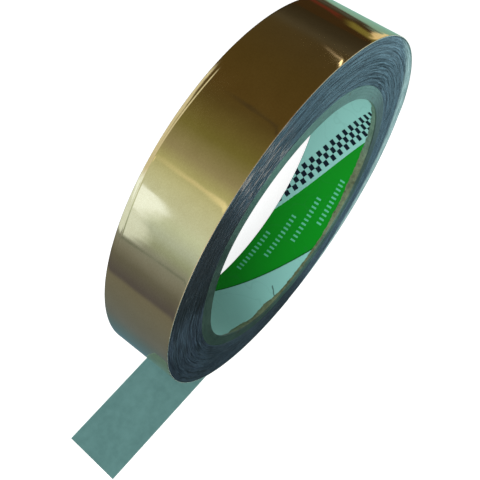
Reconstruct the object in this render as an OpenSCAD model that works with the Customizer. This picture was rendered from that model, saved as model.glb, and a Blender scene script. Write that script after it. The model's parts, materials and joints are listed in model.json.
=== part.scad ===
// Roll of copper foil tape standing on its rim, with its loose end lying on the table.
// The origin is the centre of the core's bore. The roll's axis runs along Y, +Z is up,
// and the tail leaves under the roll towards -X with its release liner facing up.

/* [Paper core] */
// Bore diameter of the core, the usual three-inch size
core_bore_d = 76.2; // [70:0.1:80]
// Thickness of the printed paper that lines the bore
lining_t = 0.3; // [0.2:0.05:0.5]
// Thickness of one board ply
board_ply_t = 0.8; // [0.5:0.1:1.2]

/* [Tape] */
// Width of the tape
tape_w = 20; // [10:0.5:30]
// Length of tape wound on the core, in metres
tape_length_m = 20; // [10:1:30]
// Thickness of the copper foil
foil_t = 0.04; // [0.03:0.01:0.1]
// Thickness of the adhesive
adhesive_t = 0.03; // [0.02:0.01:0.05]
// Thickness of the release liner
liner_t = 0.08; // [0.05:0.01:0.15]

/* [Last turn] */
// How far the slack last turn stands off the pack on the side away from the tail
slack = 1; // [0.5:0.1:2]
// Angle above level where the last turn leaves the pack, in degrees
slack_start_angle = 80; // [50:1:85]

/* [Tail] */
// How far the tail has drifted sideways where it reaches the table
tail_shift = 3.5; // [0:0.5:5]
// Angle between the tail and the roll's own direction, in degrees
tail_skew = 2.5; // [0:0.5:5]
// Length of the tail from under the roll's axis to its cut end
tail_l = 84; // [60:1:120]
// Length of flat tail that stays with the roll, before the first bend
tail_fixed_l = 8; // [6:1:12]

/* [Hidden] */
$fn = 96;
bore_r = core_bore_d / 2;
board_r = bore_r + lining_t;
board_plies = 4;
core_r = board_r + board_plies * board_ply_t;
web_t = foil_t + adhesive_t + liner_t;
mm_per_m = 1000;
pack_r = sqrt(core_r * core_r + tape_length_m * mm_per_m * web_t / PI);
roll_r = pack_r + web_t;
half_w = tape_w / 2;
tail_segments = 6;
segment_l = (tail_l - tail_fixed_l) / tail_segments;
// Heights of the three layers above the table, counted from the foil up
adhesive_z = foil_t;
liner_z = foil_t + adhesive_t;
cut_margin = 1;
reach = 2 * roll_r;

// Tube on the roll's axis, as wide as the given width
module tube(inner_r, outer_r, width) {
    rotate([90, 0, 0])
        difference() {
            cylinder(r = outer_r, h = width, center = true);
            cylinder(r = inner_r, h = width + 2 * cut_margin, center = true);
        }
}

// Point on the table plane, s along the tail from under the roll's axis, side -1 or 1 for its two edges
function tail_point(s, side) = [
    -s * cos(tail_skew) + side * half_w * sin(tail_skew),
    tail_shift + s * sin(tail_skew) + side * half_w * cos(tail_skew)
];

// Flat piece of one tape layer, lying at a height above the table
module flat_layer(outline, height, thickness) {
    translate([0, 0, -roll_r + height])
        linear_extrude(thickness)
            polygon(outline);
}

// Piece of one tape layer between two distances along the tail
module tail_layer(from_s, to_s, height, thickness) {
    flat_layer(
        [tail_point(from_s, -1), tail_point(from_s, 1), tail_point(to_s, 1), tail_point(to_s, -1)],
        height,
        thickness
    );
}

// One layer of one hinged tail segment, counted from 1
module segment_layer(index, height, thickness) {
    start_s = tail_fixed_l + (index - 1) * segment_l;
    tail_layer(start_s, start_s + segment_l, height, thickness);
}

// Flat layer under the roll, from where the last turn touches down to the first bend
module under_roll_layer(height, thickness) {
    flat_layer(
        [
            [slack, tail_shift - half_w],
            [slack, tail_shift + half_w],
            tail_point(tail_fixed_l, 1),
            tail_point(tail_fixed_l, -1)
        ],
        height,
        thickness
    );
}

// Sideways outline of the last turn: flush with the roll down to the axis, then drifting to the tail's place
module drift_window() {
    translate([slack, 0, 0])
        rotate([90, 0, 90])
            linear_extrude(reach)
                polygon([
                    [-half_w, reach],
                    [half_w, reach],
                    [half_w, 0],
                    [half_w + tail_shift, -pack_r],
                    [half_w + tail_shift, -reach],
                    [-half_w + tail_shift, -reach],
                    [-half_w + tail_shift, -pack_r],
                    [-half_w, 0]
                ]);
}

// Wedge that holds the last turn, from straight down round to where it leaves the pack
module last_turn_sector() {
    translate([slack, 0, 0])
        rotate([90, 0, 0])
            linear_extrude(2 * reach, center = true)
                polygon([
                    [0, 0],
                    [0, -reach],
                    [reach, -reach],
                    [reach, reach],
                    [reach / tan(slack_start_angle), reach]
                ]);
}

// Curved layer of the last turn, whose underside touches down at a height above the table
module last_turn_layer(height, thickness) {
    outer_r = roll_r - height;
    intersection() {
        translate([slack, 0, 0])
            tube(outer_r - thickness, outer_r, 2 * (tape_w + tail_shift));
        drift_window();
        last_turn_sector();
    }
}

module bore_lining() {
    color([0.93, 0.95, 0.93]) tube(bore_r, board_r, tape_w);
}

// Board ply of the core, counted from 1 at the inside
module core_board_ply(index) {
    ply_r = board_r + (index - 1) * board_ply_t;
    color([0.62, 0.55, 0.42]) tube(ply_r, ply_r + board_ply_t, tape_w);
}

// All the tight turns of tape, as one solid
module wound_pack() {
    color([0.62, 0.4, 0.26]) tube(core_r, pack_r, tape_w);
}

module last_turn_foil() {
    color([0.8, 0.5, 0.3]) last_turn_layer(0, foil_t);
}

module last_turn_adhesive() {
    color([0.85, 0.82, 0.7]) last_turn_layer(adhesive_z, adhesive_t);
}

module last_turn_liner() {
    color([0.75, 0.78, 0.76]) last_turn_layer(liner_z, liner_t);
}

module under_roll_foil() {
    color([0.8, 0.5, 0.3]) under_roll_layer(0, foil_t);
}

module under_roll_adhesive() {
    color([0.85, 0.82, 0.7]) under_roll_layer(adhesive_z, adhesive_t);
}

module under_roll_liner() {
    color([0.75, 0.78, 0.76]) under_roll_layer(liner_z, liner_t);
}

module tail_foil(index) {
    color([0.8, 0.5, 0.3]) segment_layer(index, 0, foil_t);
}

module tail_adhesive(index) {
    color([0.85, 0.82, 0.7]) segment_layer(index, adhesive_z, adhesive_t);
}

module tail_liner(index) {
    color([0.75, 0.78, 0.76]) segment_layer(index, liner_z, liner_t);
}

// Liner over the last segment, which peels up from the adhesive
module liner_end_flap() {
    color([0.75, 0.78, 0.76]) segment_layer(tail_segments, liner_z, liner_t);
}

bore_lining();
core_board_ply(1);  // core_board_ply_1
core_board_ply(2);  // core_board_ply_2
core_board_ply(3);  // core_board_ply_3
core_board_ply(4);  // core_board_ply_4
wound_pack();
last_turn_foil();
last_turn_adhesive();
last_turn_liner();
under_roll_foil();
under_roll_adhesive();
under_roll_liner();
tail_foil(1);  // tail_foil_1
tail_foil(2);  // tail_foil_2
tail_foil(3);  // tail_foil_3
tail_foil(4);  // tail_foil_4
tail_foil(5);  // tail_foil_5
tail_foil(6);  // tail_foil_6
tail_adhesive(1);  // tail_adhesive_1
tail_adhesive(2);  // tail_adhesive_2
tail_adhesive(3);  // tail_adhesive_3
tail_adhesive(4);  // tail_adhesive_4
tail_adhesive(5);  // tail_adhesive_5
tail_adhesive(6);  // tail_adhesive_6
tail_liner(1);  // tail_liner_1
tail_liner(2);  // tail_liner_2
tail_liner(3);  // tail_liner_3
tail_liner(4);  // tail_liner_4
tail_liner(5);  // tail_liner_5
liner_end_flap();
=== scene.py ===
"""Looks for the roll of copper foil tape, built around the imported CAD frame."""

import json
import math
import random

import bpy
from mathutils import Matrix, Vector, noise


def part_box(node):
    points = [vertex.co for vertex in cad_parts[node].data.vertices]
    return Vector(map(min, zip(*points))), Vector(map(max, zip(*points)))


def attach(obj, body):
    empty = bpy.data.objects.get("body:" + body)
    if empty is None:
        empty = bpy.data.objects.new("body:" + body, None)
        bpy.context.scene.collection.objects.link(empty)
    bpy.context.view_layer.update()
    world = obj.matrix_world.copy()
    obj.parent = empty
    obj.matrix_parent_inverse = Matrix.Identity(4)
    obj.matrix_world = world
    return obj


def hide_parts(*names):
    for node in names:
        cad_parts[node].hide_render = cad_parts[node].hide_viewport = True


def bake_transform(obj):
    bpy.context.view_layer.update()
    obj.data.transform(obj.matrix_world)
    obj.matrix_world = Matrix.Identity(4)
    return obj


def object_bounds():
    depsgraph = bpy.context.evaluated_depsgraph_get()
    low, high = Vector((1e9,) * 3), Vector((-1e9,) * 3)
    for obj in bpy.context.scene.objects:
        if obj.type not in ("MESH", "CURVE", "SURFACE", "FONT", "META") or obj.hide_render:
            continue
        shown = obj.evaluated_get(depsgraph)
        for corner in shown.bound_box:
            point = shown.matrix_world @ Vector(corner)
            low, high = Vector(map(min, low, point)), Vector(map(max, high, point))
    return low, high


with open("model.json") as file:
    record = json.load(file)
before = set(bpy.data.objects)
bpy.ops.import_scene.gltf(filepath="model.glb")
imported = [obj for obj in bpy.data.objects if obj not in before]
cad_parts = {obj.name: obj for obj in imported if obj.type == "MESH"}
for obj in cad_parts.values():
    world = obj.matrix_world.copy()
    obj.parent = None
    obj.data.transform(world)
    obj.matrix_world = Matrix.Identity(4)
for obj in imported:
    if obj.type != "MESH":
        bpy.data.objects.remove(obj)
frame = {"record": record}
CAD_LOW, CAD_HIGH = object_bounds()
MM = 0.001
RANDOM = random.Random(7)

# ---------------------------------------------------------------- sizes from the frame
RECORD = frame["record"]
BORE_R = next(m for m in RECORD["mounts"] if m["name"] == "core_bore")["dims"]["r_mm"] * MM
BOARD_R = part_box("bore_lining")[1].z
CORE_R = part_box("core_board_ply_4")[1].z
PACK_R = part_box("wound_pack")[1].z
HALF_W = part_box("wound_pack")[1].y
TABLE_Z = CAD_LOW.z
FOIL_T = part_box("tail_foil_1")[1].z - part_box("tail_foil_1")[0].z
ADHESIVE_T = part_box("tail_adhesive_1")[1].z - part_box("tail_adhesive_1")[0].z
LINER_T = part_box("tail_liner_1")[1].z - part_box("tail_liner_1")[0].z
WEB_T = FOIL_T + ADHESIVE_T + LINER_T
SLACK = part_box("last_turn_foil")[1].x - PACK_R - WEB_T
BOARD_PLIES = 4

JOINTS = {j["name"]: j for j in RECORD["behaviour"]["joints"]}
BENDS = [JOINTS[f"tail_bend_{k}"] for k in range(1, 7)]
HINGE_AXIS = Vector(BENDS[0]["axis"]).normalized()
TAIL_DIR = Vector((-HINGE_AXIS.y, HINGE_AXIS.x, 0))
FIRST_BEND = Vector(BENDS[0]["pos_m"])
SEGMENT_L = (Vector(BENDS[1]["pos_m"]) - FIRST_BEND).length
FIXED_L = FIRST_BEND.x / TAIL_DIR.x
TAIL_START = FIRST_BEND - TAIL_DIR * FIXED_L
TAIL_SHIFT = TAIL_START.y
TAIL_L = FIXED_L + SEGMENT_L * len(BENDS) - 0.01 * MM

ANGLE_STEPS = 288
PACK_STEPS = 240
BORE_ROWS = 12
SHARP_ANGLE = math.radians(50)
LOOSE_R = 47.5 * MM
CLEAR = 0.01 * MM


# ---------------------------------------------------------------- mesh helpers
def add_mesh(name, points, faces, material, smooth=True):
    mesh = bpy.data.meshes.new(name)
    mesh.from_pydata([tuple(p) for p in points], [], faces)
    mesh.update()
    if smooth:
        mesh.shade_smooth()
        mesh.set_sharp_from_angle(angle=SHARP_ANGLE)
    piece = bpy.data.objects.new(name, mesh)
    bpy.context.collection.objects.link(piece)
    mesh.materials.append(material)
    return piece


def grid_faces(rows, columns, close_rows=False, close_columns=False):
    """Quads over a grid of points stored row by row."""
    faces = []
    for i in range(rows if close_rows else rows - 1):
        for j in range(columns if close_columns else columns - 1):
            a = i * columns + j
            b = i * columns + (j + 1) % columns
            c = ((i + 1) % rows) * columns + (j + 1) % columns
            d = ((i + 1) % rows) * columns + j
            faces.append((a, b, c, d))
    return faces


def on_ring(radius, angle, y):
    return Vector((radius * math.cos(angle), y, radius * math.sin(angle)))


def revolve(name, profile, material, steps=ANGLE_STEPS, smooth=True):
    """A closed ring: profile(angle) gives the (radius, y) outline, the same count at every angle."""
    points = []
    count = 0
    for i in range(steps):
        angle = 2 * math.pi * i / steps
        outline = profile(angle)
        count = len(outline)
        points += [on_ring(r - squeeze(r, angle, y), angle, y) for r, y in outline]
    faces = grid_faces(steps, count, close_rows=True, close_columns=True)
    return add_mesh(name, points, faces, material, smooth)


def smooth_step(value, low, high):
    t = min(1.0, max(0.0, (value - low) / (high - low)))
    return t * t * (3 - 2 * t)


def turn_between(angle, centre):
    """Degrees between an angle in radians and a centre in degrees, from 0 to 180."""
    return abs((math.degrees(angle) - centre + 180) % 360 - 180)


# The near end of the paper core is squeezed a little oval: centre and reach in degrees, and depth
SQUEEZES = ((190, 68, 2.6 * MM), (15, 60, 1.1 * MM))


def squeeze(radius, angle, y):
    """Inward shift of a point of the core or the turns on it; none at the far end or at the rim."""
    depth = sum(d * (1 - smooth_step(turn_between(angle, c), 0.3 * reach, reach)) for c, reach, d in SQUEEZES)
    outward = 1 - smooth_step(radius, CORE_R, PACK_R - MM)
    inward = 1 - smooth_step(y, -HALF_W, 0.5 * HALF_W)
    return depth * outward * inward


def wave(angle, speed, seed):
    """Smooth noise from -1 to 1 that closes round the ring."""
    return noise.noise(Vector((math.cos(angle) * speed, math.sin(angle) * speed, seed)))


# ---------------------------------------------------------------- material helpers
class Nodes:
    """A short way to write a node tree."""

    @classmethod
    def for_world(cls, name):
        n = cls.__new__(cls)
        world = bpy.data.worlds.new(name)
        world.use_nodes = True
        bpy.context.scene.world = world
        n.tree = world.node_tree
        n.tree.nodes.clear()
        return n

    def __init__(self, name):
        self.material = bpy.data.materials.new(name)
        self.material.use_nodes = True
        self.tree = self.material.node_tree
        self.tree.nodes.clear()
        self.shader = self.add("ShaderNodeBsdfPrincipled")
        output = self.add("ShaderNodeOutputMaterial")
        self.link(self.shader.outputs["BSDF"], output.inputs["Surface"])
        self.place = self.add("ShaderNodeTexCoord").outputs["Object"]
        self.split = None

    def add(self, kind, **settings):
        node = self.tree.nodes.new(kind)
        for key, value in settings.items():
            setattr(node, key, value)
        return node

    def link(self, source, target):
        self.tree.links.new(source, target)

    def put(self, value, socket):
        if isinstance(value, bpy.types.NodeSocket):
            self.link(value, socket)
        else:
            socket.default_value = value

    def set(self, name, value):
        self.put(value, self.shader.inputs[name])

    def math(self, operation, a, b=0.0, c=0.0):
        node = self.add("ShaderNodeMath", operation=operation)
        for socket, value in zip(node.inputs, (a, b, c)):
            self.put(value, socket)
        return node.outputs[0]

    def axis(self, letter):
        if self.split is None:
            self.split = self.add("ShaderNodeSeparateXYZ")
            self.link(self.place, self.split.inputs[0])
        return self.split.outputs[letter]

    def combine(self, x, y, z):
        node = self.add("ShaderNodeCombineXYZ")
        for socket, value in zip(node.inputs, (x, y, z)):
            self.put(value, socket)
        return node.outputs[0]

    def noise(self, scale, detail=3.0, roughness=0.5, vector=None):
        node = self.add("ShaderNodeTexNoise")
        self.link(vector or self.place, node.inputs["Vector"])
        node.inputs["Scale"].default_value = scale
        node.inputs["Detail"].default_value = detail
        node.inputs["Roughness"].default_value = roughness
        return node.outputs["Fac"]

    def remap(self, value, low, high, out_low=0.0, out_high=1.0):
        node = self.add("ShaderNodeMapRange")
        for key, number in (("Value", value), ("From Min", low), ("From Max", high), ("To Min", out_low), ("To Max", out_high)):
            self.put(number, node.inputs[key])
        return node.outputs[0]

    def step(self, value, low, high):
        """0 below low, 1 above high, smooth between."""
        node = self.add("ShaderNodeMapRange", interpolation_type="SMOOTHSTEP")
        for key, number in (("Value", value), ("From Min", low), ("From Max", high)):
            self.put(number, node.inputs[key])
        return node.outputs[0]

    def box(self, value, low, high, soft):
        """1 between low and high, fading over soft on both sides."""
        rise = self.step(value, low, low + soft)
        fall = self.step(value, high - soft, high)
        return self.math("MULTIPLY", rise, self.math("SUBTRACT", 1.0, fall))

    def degrees_from(self, centre):
        """How far round the ring a point is from a centre, in degrees from 0 to 180."""
        turns = self.math("DIVIDE", self.math("SUBTRACT", self.angle(), math.radians(centre)), 2 * math.pi)
        wrapped = self.math("SUBTRACT", self.math("FRACT", self.math("ADD", turns, 0.5)), 0.5)
        return self.math("MULTIPLY", self.math("ABSOLUTE", wrapped), 360.0)

    def mix(self, factor, a, b):
        node = self.add("ShaderNodeMix", data_type="RGBA")
        self.put(factor, node.inputs[0])
        self.put(a, node.inputs[6])
        self.put(b, node.inputs[7])
        return node.outputs[2]

    def bump(self, height, distance, strength=1.0):
        node = self.add("ShaderNodeBump")
        node.inputs["Strength"].default_value = strength
        node.inputs["Distance"].default_value = distance
        self.link(height, node.inputs["Height"])
        self.link(node.outputs[0], self.shader.inputs["Normal"])

    def radius(self):
        x = self.axis("X")
        z = self.axis("Z")
        return self.math("SQRT", self.math("ADD", self.math("MULTIPLY", x, x), self.math("MULTIPLY", z, z)))

    def angle(self):
        return self.math("ARCTAN2", self.axis("Z"), self.axis("X"))


def rgb(r, g, b):
    return (r, g, b, 1.0)


# ---------------------------------------------------------------- materials
def copper_material():
    """Mirror-bright foil with a faint haze, slow ripples and a soft fold along the far edge."""
    n = Nodes("copper_foil_mirror")
    n.set("Metallic", 1.0)
    haze = n.noise(160, 4, 0.6)
    grain = n.noise(2600, 2, 0.6)
    tone = n.math("ADD", n.math("MULTIPLY", haze, 0.5), n.math("MULTIPLY", grain, 0.5))
    n.set("Base Color", n.mix(n.remap(tone, 0.35, 0.65), rgb(0.8, 0.54, 0.31), rgb(0.9, 0.62, 0.37)))
    n.set("Roughness", n.remap(haze, 0.3, 0.7, 0.05, 0.09))
    ripple = n.noise(130, 2, 0.4)
    off_centre = n.degrees_from(118)
    fold_y = n.math("SUBTRACT", 9.0, n.math("MULTIPLY", n.step(off_centre, 0.0, 24.0), 0.55))
    y = n.math("MULTIPLY", n.axis("Y"), 1 / MM)
    fold = n.box(n.math("SUBTRACT", y, fold_y), -0.35, 0.35, 0.35)
    fold = n.math("MULTIPLY", fold, n.math("SUBTRACT", 1.0, n.step(off_centre, 20.0, 27.0)))
    n.bump(n.math("ADD", ripple, n.math("MULTIPLY", fold, 0.9)), 0.02 * MM, 1.0)
    return n.material


def edge_material():
    """Cut edges of the wound turns: slate with fine streaks along the turns, painted light at the right, painted shade
    at the upper left and bottom, and a lighter crescent painted as a highlight on the loosened outer turns.
    """
    n = Nodes("wound_tape_edges")
    radius = n.math("MULTIPLY", n.radius(), 1 / MM)
    angle = n.angle()
    side = n.math("MULTIPLY", n.math("SIGN", n.axis("Y")), 5.0)

    def streaks(across, along, detail, roughness):
        place = n.combine(n.math("MULTIPLY", radius, across), n.math("MULTIPLY", angle, along), side)
        return n.noise(1.0, detail, roughness, place)

    broad = streaks(0.55, 1.2, 2, 0.5)
    bands = streaks(2.2, 2.0, 4, 0.65)
    fine = streaks(5.5, 7.0, 4, 0.7)
    scratches = n.step(streaks(3.2, 14.0, 3, 0.6), 0.62, 0.72)
    scraped = n.math("SUBTRACT", 1.0, n.step(n.degrees_from(106), 4.0, 15.0))
    scrape = n.math("MULTIPLY", scraped, n.step(streaks(1.6, 9.0, 3, 0.6), 0.5, 0.62))
    tone = n.math("ADD", n.math("MULTIPLY", bands, 0.5), n.math("MULTIPLY", fine, 0.5))
    colour = n.mix(n.remap(tone, 0.44, 0.6), rgb(0.003, 0.006, 0.008), rgb(0.055, 0.095, 0.125))
    colour = n.mix(n.remap(broad, 0.4, 0.7, 0.0, 0.35), colour, rgb(0.02, 0.03, 0.058))
    # Painted light: within about 55 degrees of 20 degrees (right), fading out by 125, the edges are mixed toward a
    # lighter copy of the slate, as if lit from that side.
    lit = n.math("SUBTRACT", 1.0, n.step(n.degrees_from(20), 55.0, 125.0))
    colour = n.mix(n.math("MULTIPLY", lit, 0.45), colour, n.mix(n.remap(tone, 0.42, 0.58), rgb(0.012, 0.036, 0.052), rgb(0.15, 0.3, 0.37)))
    # Painted shade: a near-black patch round 137 degrees, at the upper left, darkens the edges there.
    painted_shade_patch = n.math("SUBTRACT", 1.0, n.step(n.degrees_from(137), 12.0, 26.0))
    colour = n.mix(n.math("MULTIPLY", painted_shade_patch, 0.75), colour, rgb(0.003, 0.006, 0.006))
    # Painted shade: the edges darken toward the bottom, round 240 degrees, nearest the table.
    under = n.math("SUBTRACT", 1.0, n.step(n.degrees_from(240), 30.0, 45.0))
    colour = n.mix(n.math("MULTIPLY", under, 0.6), colour, rgb(0.002, 0.005, 0.007))
    colour = n.mix(n.math("MULTIPLY", scratches, 0.35), colour, rgb(0.16, 0.2, 0.2))
    colour = n.mix(n.math("MULTIPLY", scrape, 0.7), colour, rgb(0.34, 0.33, 0.3))
    # Painted highlight: beyond about 47.7 mm, round -22 degrees at the right, the loosened outer turns are mixed
    # toward a lighter teal crescent.
    off_centre = n.math("DIVIDE", n.degrees_from(-22), 62.0)
    inner_rim = n.math("ADD", 47.7, n.math("MULTIPLY", n.math("MULTIPLY", off_centre, off_centre), 4.2))
    wander = n.math("MULTIPLY", n.math("SUBTRACT", bands, 0.5), 2.0)
    crescent = n.step(n.math("ADD", n.math("SUBTRACT", radius, inner_rim), wander), -0.8, 1.6)
    painted_crescent_highlight = n.mix(n.remap(fine, 0.4, 0.6), rgb(0.13, 0.26, 0.26), rgb(0.44, 0.64, 0.62))
    colour = n.mix(n.math("MULTIPLY", crescent, 0.9), colour, painted_crescent_highlight)
    n.set("Base Color", colour)
    n.set("Metallic", 0.1)
    n.set("Specular IOR Level", 0.6)
    n.set("Roughness", n.remap(tone, 0.4, 0.6, 0.5, 0.26))
    n.bump(tone, 0.16 * MM, 0.7)
    return n.material


def board_material():
    """Raw paperboard: greyed olive on the cut face, with painted light at the top and lower right and painted shade
    elsewhere, browner down the bore wall, with short fibres and nicks.
    """
    n = Nodes("core_paperboard")
    fibre = n.noise(900, 5, 0.7)
    blotch = n.noise(180, 3, 0.55)
    tone = n.math("ADD", n.math("MULTIPLY", fibre, 0.6), n.math("MULTIPLY", blotch, 0.4))
    # Painted light and shade: the darker tone is a shaded copy and pale a lit copy of the cut face; the face is
    # lighter round 75 degrees at the top and a little round 295 degrees at the lower right, darker elsewhere.
    painted_shade_board = n.mix(n.remap(tone, 0.35, 0.65), rgb(0.009, 0.024, 0.019), rgb(0.034, 0.07, 0.052))
    pale = n.mix(n.remap(tone, 0.35, 0.65), rgb(0.05, 0.135, 0.11), rgb(0.11, 0.25, 0.2))
    lit = n.math("SUBTRACT", 1.0, n.step(n.degrees_from(75), 28.0, 62.0))
    lit_low = n.math("SUBTRACT", 1.0, n.step(n.degrees_from(295), 15.0, 50.0))
    lit = n.math("MAXIMUM", n.math("MULTIPLY", lit, 0.72), n.math("MULTIPLY", lit_low, 0.4))
    face = n.mix(lit, painted_shade_board, pale)
    wall = n.mix(n.remap(tone, 0.38, 0.6), rgb(0.045, 0.055, 0.026), rgb(0.12, 0.155, 0.085))
    wall_grey = n.mix(n.remap(tone, 0.38, 0.6), rgb(0.045, 0.085, 0.06), rgb(0.1, 0.17, 0.13))
    wall = n.mix(n.step(n.degrees_from(40), 40.0, 64.0), wall_grey, wall)
    depth_in = n.math("SUBTRACT", HALF_W, n.math("ABSOLUTE", n.axis("Y")))
    colour = n.mix(n.step(depth_in, 0.25 * MM, 0.5 * MM), face, wall)
    nicks = n.step(n.noise(420, 2, 0.5), 0.66, 0.72)
    colour = n.mix(n.math("MULTIPLY", nicks, 0.7), colour, rgb(0.03, 0.025, 0.012))
    n.set("Base Color", colour)
    n.set("Roughness", 0.42)
    n.bump(fibre, 0.08 * MM, 0.6)
    return n.material


def lining_material():
    """Printed paper: a helical checker strip and a green band on white."""
    n = Nodes("bore_lining_print")
    slope = 0.47
    cosine = 1 / math.sqrt(1 + slope * slope)
    cell_l = 1.73
    cell_w = 1.86
    along_ring = n.math("MULTIPLY", n.angle(), -BORE_R / MM)
    y = n.math("MULTIPLY", n.axis("Y"), 1 / MM)
    drop = n.math("SUBTRACT", y, n.math("MULTIPLY", along_ring, slope))
    across = n.math("MULTIPLY", drop, cosine)
    along = n.math("MULTIPLY", n.math("ADD", along_ring, n.math("MULTIPLY", y, slope)), cosine)

    def between(value, low, high):
        return n.math("MULTIPLY", n.math("GREATER_THAN", value, low), n.math("LESS_THAN", value, high))

    top = -2.13
    white = rgb(0.2, 0.43, 0.39)
    green = rgb(0.002, 0.185, 0.008)
    column = n.math("FLOOR", n.math("DIVIDE", along, cell_l))
    row = n.math("FLOOR", n.math("DIVIDE", n.math("SUBTRACT", across, top), cell_w))
    odd = n.math("FRACT", n.math("MULTIPLY", n.math("ADD", column, row), 0.5))
    checker = n.math("MULTIPLY", n.math("GREATER_THAN", odd, 0.25), between(across, top - 3 * cell_w, top))
    band = between(across, -27.4, -8.9)
    band_edge = between(across, -27.6, -27.2)
    row_step = 4.3
    row_number = n.math("ROUND", n.math("DIVIDE", n.math("SUBTRACT", y, -5.9), row_step))
    row_y = n.math("ADD", n.math("MULTIPLY", row_number, row_step), -5.9)
    row_start = n.math("ADD", n.math("MULTIPLY", row_number, 9.3), 21.3)
    in_row = n.math("SUBTRACT", along_ring, row_start)
    tick = n.math("LESS_THAN", n.math("FRACT", n.math("DIVIDE", in_row, 1.6)), 0.4)
    tick = n.math("MULTIPLY", tick, between(in_row, 0.0, 17.5))
    tick = n.math("MULTIPLY", tick, n.math("LESS_THAN", n.math("ABSOLUTE", n.math("SUBTRACT", y, row_y)), 0.85))
    colour = n.mix(checker, white, rgb(0.003, 0.007, 0.014))
    colour = n.mix(band, colour, green)
    colour = n.mix(n.math("MULTIPLY", tick, band), colour, rgb(0.08, 0.36, 0.22))
    colour = n.mix(band_edge, colour, rgb(0.003, 0.07, 0.008))
    crooked = n.math("MULTIPLY", n.math("SUBTRACT", n.noise(300, 2, 0.5), 0.5), 3.0)
    leaning = n.math("ADD", -96.2, n.math("MULTIPLY", n.math("ADD", y, 5.7), 1.22))
    beside = n.math("SUBTRACT", n.math("MULTIPLY", n.angle(), 180 / math.pi), leaning)
    scratch = n.box(n.math("ADD", beside, crooked), -0.55, 0.55, 0.3)
    scratch = n.math("MULTIPLY", scratch, between(y, -9.0, -5.7))
    colour = n.mix(n.math("MULTIPLY", scratch, 0.7), colour, rgb(0.02, 0.04, 0.035))
    creases = n.step(n.math("ABSOLUTE", n.math("SUBTRACT", n.noise(70, 2, 0.5), 0.5)), 0.0, 0.012)
    crease_shade = n.math("MULTIPLY", n.math("SUBTRACT", 1.0, creases), 0.09)
    colour = n.mix(crease_shade, colour, rgb(0.03, 0.08, 0.06))
    n.set("Base Color", colour)
    n.set("Roughness", 0.6)
    n.set("Specular IOR Level", 0.12)
    n.bump(n.noise(500, 3, 0.5), 0.02 * MM, 0.5)
    return n.material


def liner_material():
    n = Nodes("release_liner_paper")
    cloud = n.math("ADD", n.math("MULTIPLY", n.noise(60, 3, 0.5), 0.4), n.math("MULTIPLY", n.noise(330, 4, 0.65), 0.6))
    paper = n.mix(n.remap(cloud, 0.38, 0.62), rgb(0.086, 0.19, 0.182), rgb(0.107, 0.228, 0.219))
    from_x = n.math("MULTIPLY", n.math("SUBTRACT", n.axis("X"), TAIL_START.x), HINGE_AXIS.x)
    from_y = n.math("MULTIPLY", n.math("SUBTRACT", n.axis("Y"), TAIL_START.y), HINGE_AXIS.y)
    across = n.math("ABSOLUTE", n.math("ADD", from_x, from_y))
    cut = n.step(across, HALF_W - 0.3 * MM, HALF_W - 0.1 * MM)
    n.set("Base Color", n.mix(n.math("MULTIPLY", cut, 0.5), paper, rgb(0.24, 0.4, 0.38)))
    n.set("Roughness", 0.6)
    n.set("Specular IOR Level", 0.3)
    n.bump(n.noise(1500, 2, 0.5), 0.01 * MM, 0.5)
    return n.material


def adhesive_material():
    n = Nodes("clear_adhesive")
    n.set("Base Color", n.mix(n.noise(400, 3, 0.5), rgb(0.4, 0.38, 0.28), rgb(0.5, 0.47, 0.35)))
    n.set("Roughness", 0.3)
    return n.material


def floor_material():
    """Pale paper that glows a little and evenly: painted light that keeps it white and fades the shadows on it."""
    n = Nodes("pale_floor")
    n.set("Base Color", rgb(0.5, 0.5, 0.5))
    n.set("Roughness", 0.9)
    n.set("Emission Color", rgb(1.0, 1.0, 1.0))
    n.set("Emission Strength", 0.76)
    return n.material


COPPER = copper_material()
EDGES = edge_material()
BOARD = board_material()
LINING = lining_material()
LINER = liner_material()
ADHESIVE = adhesive_material()


# ---------------------------------------------------------------- the wound pack
def build_pack():
    """Side faces and body of the tight turns, with each turn's edge a little proud or sunk."""
    pitch = WEB_T
    turns = int((PACK_R - WEB_T - CORE_R) / pitch)
    depth = {side: [RANDOM.random() for _ in range(turns)] for side in (-1, 1)}

    def face(side, angle):
        outline = []
        for k in range(turns):
            slow = wave(angle, 1.3, k * 0.31 + side * 40)
            sunk = (0.02 + 0.04 * depth[side][k] + 0.02 * (1 + slow)) * MM
            inner = CORE_R + k * pitch
            inner += SLACK * max(0.0, math.cos(angle)) * smooth_step(inner, LOOSE_R, PACK_R)
            y = side * (HALF_W - sunk)
            groove = side * (HALF_W - sunk - 0.05 * MM)
            outline += [(inner, groove), (inner + 0.3 * pitch, y), (inner + 0.8 * pitch, y)]
        return outline

    def profile(angle):
        near = face(-1, angle)
        far = face(1, angle)
        return near + far[::-1]

    pack = revolve("wound_turns", profile, EDGES, steps=PACK_STEPS)
    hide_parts("wound_pack")
    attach(pack, "roll")


# ---------------------------------------------------------------- the outermost turn
CURL_W = 0.012
FLAT_COLUMNS = [-0.9, -0.6, -0.3, 0.0, 0.3, 0.6, 0.9]
EDGE_COLUMNS = [1 - CURL_W * share for share in (1.0, 0.7, 0.45, 0.25, 0.1, 0.0)]
COLUMNS = [-side for side in EDGE_COLUMNS[::-1]] + FLAT_COLUMNS + EDGE_COLUMNS


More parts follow.
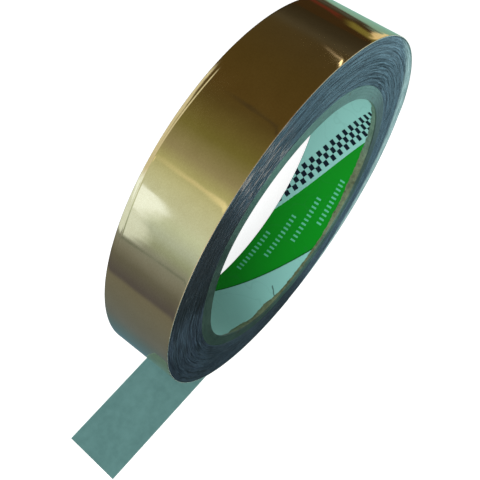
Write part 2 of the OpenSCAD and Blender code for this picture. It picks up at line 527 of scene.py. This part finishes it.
def strip(name, sections, material, curl=0.0):
    """A strip with thickness: sections are (outer point, inner point, half width, sideways) rows across the tape."""
    points = []
    columns = len(COLUMNS)
    for outer, inner, across, middle in sections:
        inwards = (inner - outer).normalized()
        for level in (outer, inner):
            for side in COLUMNS:
                dip = curl * (max(0.0, abs(side) - 1 + CURL_W) / CURL_W) ** 2
                points.append(level + middle + across * side + inwards * dip)
    rows = len(sections)
    faces = []
    width = 2 * columns
    ring = list(range(columns)) + list(range(2 * columns - 1, columns - 1, -1))
    for i in range(rows - 1):
        for j in range(width):
            a = i * width + ring[j]
            b = i * width + ring[(j + 1) % width]
            faces.append((a, b, b + width, a + width))
    faces.append(tuple(ring[::-1]))
    faces.append(tuple((rows - 1) * width + j for j in ring))
    return add_mesh(name, points, faces, material)


def round_layer(name, node, low, high, material):
    """One layer of the outermost turn; low and high are depths inwards from the foil's outer face."""
    sections = []
    steps = 360
    for i in range(steps + 1):
        t = i / steps
        angle = math.radians(270 - 360 * t)
        away = Vector((math.cos(angle), 0, math.sin(angle)))
        centre = Vector((SLACK * min(1.0, max(0.0, (t - 0.4) / 0.2)), 0, 0))
        outer = PACK_R + WEB_T * smooth_step(t, 0.53, 0.68)
        drift = TAIL_SHIFT * max(0.0, -math.sin(angle)) ** 1.5 if t > 0.75 else 0.0
        sections.append(
            (
                centre + away * (outer - low),
                centre + away * (outer - high),
                Vector((0, HALF_W - CLEAR, 0)),
                Vector((0, drift, 0)),
            )
        )
    piece = strip(name, sections, material, curl=0.05 * MM)
    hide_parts(node)
    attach(piece, "roll")


def build_last_turn():
    liner_in = WEB_T
    round_layer("outer_turn_foil", "last_turn_foil", 0.0, FOIL_T, COPPER)
    round_layer("outer_turn_adhesive", "last_turn_adhesive", FOIL_T, liner_in - LINER_T, ADHESIVE)
    round_layer("outer_turn_liner", "last_turn_liner", liner_in - LINER_T, liner_in, LINER)


# ---------------------------------------------------------------- the tail
def tail_sections(start, end, low, high, steps):
    """Rows across the tail; low and high are heights above the table."""
    rows = []
    for i in range(steps + 1):
        s = start + (end - start) * i / steps
        middle = TAIL_START + TAIL_DIR * s
        base = Vector((middle.x, middle.y, TABLE_Z))
        rows.append((base + Vector((0, 0, low)), base + Vector((0, 0, high)), HINGE_AXIS * (HALF_W - CLEAR), Vector()))
    return rows


LAYERS = (
    ("foil", 0.0, FOIL_T, COPPER, "copper_foil"),
    ("adhesive", FOIL_T, FOIL_T + ADHESIVE_T, ADHESIVE, "adhesive"),
    ("liner", FOIL_T + ADHESIVE_T, WEB_T, LINER, "release_liner"),
)


def bend_at(k):
    """Distance along the tail of bend k, counted from 1."""
    return FIXED_L + (k - 1) * SEGMENT_L


def build_tail():
    last = len(BENDS)
    middle = [bend_at(k) + SEGMENT_L / 2 for k in range(1, last + 1)]
    liner_seam = bend_at(last) + SEGMENT_L / 8
    for layer, low, high, material, slot in LAYERS:
        flat = strip(f"under_roll_{layer}_sheet", tail_sections(-SLACK, FIXED_L / 2, low, high, 6), material)
        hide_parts(f"under_roll_{layer}")
        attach(flat, "roll")
        for k in range(1, last + 1):
            start = FIXED_L / 2 if k == 1 else middle[k - 2]
            end = middle[k - 1]
            if k == last and layer == "liner":
                end = liner_seam
            piece = strip(f"tail_{layer}_sheet_{k}", tail_sections(start, end, low, high, 14), material)
            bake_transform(piece)
            node = f"tail_{layer}_{k}"
            if k == last and layer == "liner":
                node = "tail_liner_5"
            if not (layer == "liner" and k == last - 1):
                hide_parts(node)
        if layer == "liner":
            flap = strip("liner_end_sheet", tail_sections(liner_seam, TAIL_L, low, high, 30), material)
            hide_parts("liner_end_flap")
            hinge = Vector(JOINTS["liner_peel"]["pos_m"])
            start = hinge + TAIL_DIR * SEGMENT_L / 8
            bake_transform(flap)
        else:
            end_piece = strip(f"tail_{layer}_sheet_end", tail_sections(middle[-1], TAIL_L, low, high, 8), material)
            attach(end_piece, f"tail_{last}")


# ---------------------------------------------------------------- the core
# How far the lining's torn near edge stands back from the core's near face: degrees, millimetres
TORN_EDGE = ((0, 1.9), (18, 1.5), (40, 0.8), (70, 0.4), (200, 0.4), (212, 0.8), (220, 1.6), (231, 1.8), (240, 1.4))
TORN_EDGE += ((252, 2.0), (265, 1.2), (300, 1.2), (312, 1.8), (330, 2.4), (345, 2.3), (360, 1.9))


def lining_edge(angle):
    degrees = math.degrees(angle) % 360
    for (low, first), (high, second) in zip(TORN_EDGE, TORN_EDGE[1:]):
        if low <= degrees <= high:
            depth = first + (second - first) * smooth_step(degrees, low, high)
            break
    rough = 0.22 * wave(angle, 22, 3.0) + 0.16 * wave(angle, 55, 9.0) + 0.1 * wave(angle, 110, 4.0)
    return (depth + rough * min(1.0, depth)) * MM


def build_lining():
    def profile(angle):
        near = -HALF_W + lining_edge(angle)
        far = HALF_W - (0.15 + 0.1 * wave(angle, 20, 5.0)) * MM
        inner = BORE_R
        outer = BORE_R + 0.12 * MM
        face = [(inner, near + (far - near) * i / BORE_ROWS) for i in range(BORE_ROWS + 1)]
        back = [(outer, far), (outer, near)]
        return face + back

    lining = revolve("bore_lining_paper", profile, LINING, steps=720)
    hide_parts("bore_lining")
    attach(lining, "roll")


def rows_between(first, last):
    return [first + (last - first) * i / BORE_ROWS for i in range(BORE_ROWS + 1)]


def build_plies():
    step = (CORE_R - BOARD_R) / BOARD_PLIES
    for k in range(BOARD_PLIES):
        inner = BOARD_R + k * step - (BOARD_R - BORE_R - 0.12 * MM if k == 0 else 0)
        outer = BOARD_R + (k + 1) * step
        seed = 11.0 * (k + 1)

        edge = 0.02 * MM
        rim = 0.14 * MM if k == BOARD_PLIES - 1 else edge

        def profile(angle, inner=inner, outer=outer, seed=seed, edge=edge, rim=rim):
            near = -HALF_W + (0.04 + 0.015 * wave(angle, 9, seed) + 0.01 * wave(angle, 40, seed)) * MM
            far = HALF_W - (0.04 + 0.015 * wave(angle, 9, seed + 5)) * MM
            outline = [(inner + 3 * edge, near), (inner + edge, near)]
            outline += [(inner, y) for y in rows_between(near + edge, far - edge)]
            outline += [(inner + edge, far), (inner + 3 * edge, far), (outer - 2 * rim, far), (outer - rim, far)]
            outline += [(outer, y) for y in rows_between(far - rim, near + rim)]
            return outline + [(outer - rim, near), (outer - 2 * rim, near)]

        ply = revolve(f"board_ply_{k + 1}", profile, BOARD)
        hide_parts(f"core_board_ply_{k + 1}")
        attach(ply, "roll")


build_pack()
build_last_turn()
build_tail()
build_lining()
build_plies()


# ---------------------------------------------------------------- stage, light and camera
def build_floor():
    size = 3.0
    points = [(-size, -size, 0), (size, -size, 0), (size, size, 0), (-size, size, 0)]
    mesh = bpy.data.meshes.new("floor")
    mesh.from_pydata(points, [], [(0, 1, 2, 3)])
    mesh.materials.append(floor_material())
    floor = bpy.data.objects.new("floor", mesh)
    bpy.context.collection.objects.link(floor)
    floor.location.z = TABLE_Z - 0.02 * MM
    floor.visible_glossy = False


# The studio that the mirror-like foil reflects, by angle round the roll's axis: degrees, then red, green and blue.
# The back half is what the foil and the far side see, the front half what the near side sees.
BACK_WALLS = (
    (0, (0.034, 0.03, 0.016)),
    (10, (0.045, 0.045, 0.03)),
    (17, (0.07, 0.072, 0.05)),
    (22, (0.068, 0.062, 0.03)),
    (48, (0.078, 0.066, 0.022)),
    (72, (0.092, 0.076, 0.025)),
    (80, (0.098, 0.09, 0.033)),
    (90, (0.142, 0.147, 0.054)),
    (99, (0.175, 0.205, 0.07)),
    (113, (0.315, 0.37, 0.26)),
    (121, (0.45, 0.59, 0.36)),
    (128, (0.56, 0.76, 0.6)),
    (136, (0.59, 0.83, 0.75)),
    (144, (0.6, 0.87, 0.85)),
    (150, (0.58, 0.88, 0.87)),
    (158, (0.47, 0.72, 0.79)),
    (165, (0.32, 0.49, 0.45)),
    (171, (0.26, 0.37, 0.41)),
    (179, (0.21, 0.28, 0.3)),
    (186, (0.135, 0.176, 0.18)),
    (198, (0.095, 0.115, 0.155)),
    (201, (0.17, 0.214, 0.206)),
    (233, (0.14, 0.2, 0.24)),
    (246, (0.105, 0.2, 0.26)),
    (265, (0.1, 0.21, 0.27)),
    (282, (0.45, 0.45, 0.4)),
    (306, (0.6, 0.62, 0.55)),
    (315, (0.3, 0.52, 0.46)),
    (323, (0.3, 0.52, 0.45)),
    (330, (0.2, 0.28, 0.18)),
    (336, (0.065, 0.065, 0.045)),
    (347, (0.045, 0.03, 0.012)),
)
FRONT_WALLS = (
    (0, (0.5, 0.55, 0.45)),
    (60, (0.25, 0.2, 0.15)),
    (110, (0.4, 0.42, 0.4)),
    (150, (0.8, 0.9, 0.9)),
    (190, (0.5, 0.6, 0.6)),
    (225, (0.1, 0.13, 0.13)),
    (262, (0.005, 0.01, 0.012)),
    (303, (0.005, 0.012, 0.015)),
    (309, (0.6, 1.0, 1.15)),
    (318, (0.75, 1.2, 1.4)),
    (328, (0.3, 0.45, 0.5)),
)
FRONT_TO_BACK = (-0.05, 0.2)
RAGGED_DEGREES = 8.0
RAGGED_DEPTH = 0.07

# Windows and strips on the studio's walls: angle from and to, softness; slant in degrees for each unit of
# depth; depth along the axis from and to, softness; colour; strength
WINDOWS = (
    (141, 172.5, 3.0, 0, 0.425, 0.70, 0.02, (0.85, 1.25, 1.5), 0.8),
    (144, 160, 2.0, -90, 0.44, 0.70, 0.012, (1.05, 1.55, 2.0), 0.9),
    (60, 140, 10.0, 0, 0.505, 0.90, 0.03, (0.7, 0.85, 0.75), 1.0),
    (172.3, 174.3, 0.8, 0, 0.20, 0.50, 0.03, (0.14, 0.22, 0.22), 0.8),
    (121.5, 125.5, 1.4, -10, 0.20, 0.52, 0.10, (0.72, 0.86, 0.62), 0.8),
    (121.5, 126.5, 1.4, -10, 0.20, 0.405, 0.04, (0.95, 1.15, 0.85), 0.7),
    (17.5, 20.5, 1.2, -60, 0.20, 0.37, 0.05, (0.6, 0.6, 0.5), 0.8),
    (17.5, 21.5, 1.2, -60, 0.20, 0.325, 0.01, (2.4, 2.6, 2.0), 0.8),
    (74.5, 77.5, 1.4, -40, 0.20, 0.45, 0.03, (0.06, 0.055, 0.03), 0.8),
    (290, 331, 6.0, -155, 0.20, 0.41, 0.03, (0.24, 0.5, 0.42), 0.95),
    (341, 351, 3.0, -60, 0.20, 0.35, 0.02, (0.22, 0.23, 0.055), 0.8),
    (338, 355, 3.0, 0, 0.20, 0.302, 0.006, (0.9, 0.85, 0.5), 0.85),
    (343, 350, 3.0, -60, 0.345, 0.43, 0.02, (0.13, 0.03, 0.018), 0.8),
    (336, 342, 2.5, -60, 0.33, 0.43, 0.02, (0.075, 0.09, 0.075), 0.8),
)


def add_ramp(tree, walls, place):
    ramp = tree.nodes.new("ShaderNodeValToRGB")
    tree.links.new(place, ramp.inputs[0])
    stops = ramp.color_ramp.elements
    for i, (degrees, colour) in enumerate(walls):
        stop = stops[i] if i < 2 else stops.new(degrees / 360)
        stop.position = degrees / 360
        stop.color = (*colour, 1)
    return ramp.outputs[0]


def build_world():
    """Even light for matt surfaces, and a studio of walls and windows for what reflects."""
    n = Nodes.for_world("studio")
    split = n.add("ShaderNodeSeparateXYZ")
    direction = n.add("ShaderNodeTexCoord").outputs["Generated"]
    n.link(direction, split.inputs[0])
    depth = split.outputs["Y"]
    turn = n.math("FRACT", n.math("DIVIDE", n.math("ARCTAN2", split.outputs["Z"], split.outputs["X"]), 2 * math.pi))
    back = add_ramp(n.tree, BACK_WALLS, turn)
    front = add_ramp(n.tree, FRONT_WALLS, turn)
    colour = n.mix(n.step(depth, *FRONT_TO_BACK), front, back)
    ragged = n.math("SUBTRACT", n.noise(7, 3, 0.6, direction), 0.5)
    degrees = n.math("ADD", n.math("MULTIPLY", turn, 360.0), n.math("MULTIPLY", ragged, RAGGED_DEGREES))
    depth = n.math("ADD", depth, n.math("MULTIPLY", ragged, RAGGED_DEPTH))
    for low, high, soft, slant, depth_low, depth_high, depth_soft, tint, strength in WINDOWS:
        slanted = n.math("SUBTRACT", degrees, n.math("MULTIPLY", n.math("SUBTRACT", depth, 0.4), slant))
        mask = n.math("MULTIPLY", n.box(slanted, low, high, soft), n.box(depth, depth_low, depth_high, depth_soft))
        colour = n.mix(n.math("MULTIPLY", mask, strength), colour, rgb(*tint))
    seen = n.add("ShaderNodeBackground")
    n.link(colour, seen.inputs["Color"])
    ray = n.add("ShaderNodeLightPath")
    soft_light = n.add("ShaderNodeBackground")
    soft_light.inputs["Strength"].default_value = 0.3
    backdrop = n.add("ShaderNodeBackground")
    backdrop.inputs["Color"].default_value = rgb(0.85, 0.85, 0.85)
    pale = n.add("ShaderNodeMixShader")
    n.link(ray.outputs["Is Camera Ray"], pale.inputs[0])
    n.link(soft_light.outputs[0], pale.inputs[1])
    n.link(backdrop.outputs[0], pale.inputs[2])
    soft_light.inputs["Color"].default_value = rgb(1.0, 1.0, 1.0)
    whole = n.add("ShaderNodeMixShader")
    n.link(ray.outputs["Is Glossy Ray"], whole.inputs[0])
    n.link(pale.outputs[0], whole.inputs[1])
    n.link(seen.outputs[0], whole.inputs[2])
    n.link(whole.outputs[0], n.add("ShaderNodeOutputWorld").inputs["Surface"])


def add_area(name, place, aim, size, power, glossy=False):
    data = bpy.data.lights.new(name, "AREA")
    data.shape = "DISK"
    data.size = size
    data.energy = power
    light = bpy.data.objects.new(name, data)
    bpy.context.collection.objects.link(light)
    light.location = place
    light.rotation_euler = (Vector(aim) - Vector(place)).to_track_quat("-Z", "Y").to_euler()
    light.visible_glossy = glossy
    return light


def build_camera():
    place = Vector((-66.42, -51.67, 146.2)) * MM
    right = Vector((0.62989, -0.77369, -0.06815))
    up = Vector((0.74185, 0.57334, 0.34776))
    back = right.cross(up)
    data = bpy.data.cameras.new("camera")
    data.sensor_width = 36
    data.lens = 601.1 / 480 * data.sensor_width
    data.shift_x = (240 - 222.9) / 480
    data.shift_y = (311.7 - 240) / 480
    data.clip_start = 0.01
    camera = bpy.data.objects.new("camera", data)
    bpy.context.collection.objects.link(camera)
    turn = Matrix((right, up, back)).transposed()
    camera.matrix_world = Matrix.Translation(place) @ turn.to_4x4()
    bpy.context.scene.camera = camera


build_floor()
build_world()
add_area("key", (-0.5, -0.22, 0.5), (0, 0, 0), 0.45, 6.0)
add_area("fill", (0.1, -0.5, 0.35), (0, 0, 0), 0.5, 0.5)
build_camera()
bpy.context.scene.view_settings.view_transform = "Standard"
